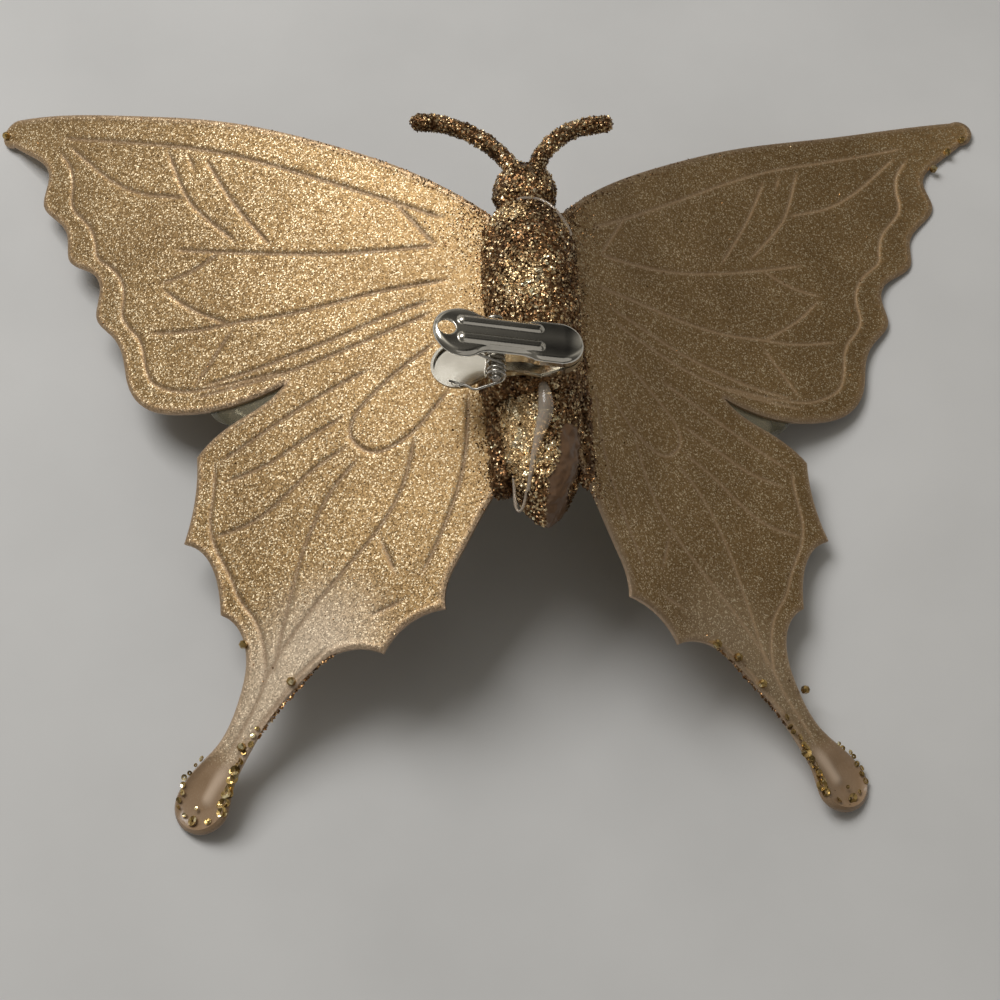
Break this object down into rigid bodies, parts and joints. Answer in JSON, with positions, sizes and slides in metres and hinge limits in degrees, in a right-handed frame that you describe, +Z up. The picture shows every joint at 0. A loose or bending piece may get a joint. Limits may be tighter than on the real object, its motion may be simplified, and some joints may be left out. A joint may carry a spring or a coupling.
{
  "type": "butterfly ornament",
  "caption": "Clip-on butterfly ornament with bent glitter wings, body, antennae and a sprung steel clip on its back.",
  "frame": {"origin": "on the floor under the middle of the bounding box, with the butterfly lying on its wing tips and tail ends", "axes": "+X along the wingspan, towards the wing on the clip jaw's side; +Y towards the head; +Z up, out of the clip side"},
  "size_m": [0.2512, 0.1878, 0.0686],
  "materials": {
    "glitter_sheet": "gold glitter",
    "film": "clear glossy",
    "glitter_body": "bronze glitter",
    "glitter_glue": "bronze glitter",
    "flock": "flocked",
    "steel": "polished",
    "spring_steel": "drawn wire",
    "hot_glue": "translucent",
    "gold_trim": "metallic"
  },
  "bodies": {
    "ornament": {"wing_left": "glitter_sheet", "wing_right": "glitter_sheet", "film_left": "film", "film_right": "film", "body": "glitter_body", "head": "glitter_body", "antenna_left": "flock", "antenna_right": "flock", "antenna_wire_left": "spring_steel", "antenna_wire_right": "spring_steel", "flank_glue_left": "glitter_glue", "flank_glue_right": "glitter_glue", "glue_mound": "hot_glue", "glue_strand_tail": "hot_glue", "glue_strand_neck": "hot_glue", "clip_lower": "steel", "clip_pin": "spring_steel", "clip_spring": "spring_steel", "spangles_left": "gold_trim", "spangles_right": "gold_trim", "beads_left": "gold_trim", "beads_right": "gold_trim"},
    "lever": {"clip_upper": "steel"}
  },
  "joints": [
    {"name": "clip_opening", "type": "hinge", "parent": "ornament", "child": "lever", "pos_m": [-0.01046, -0.00944, 0.06093], "axis": [-0.035, -0.9939, 0.105], "range_deg": [0, 30], "stiffness_Nm_per_rad": 0.05, "springref_deg": -57.3, "deforming": ["clip_spring"]}
  ]
}
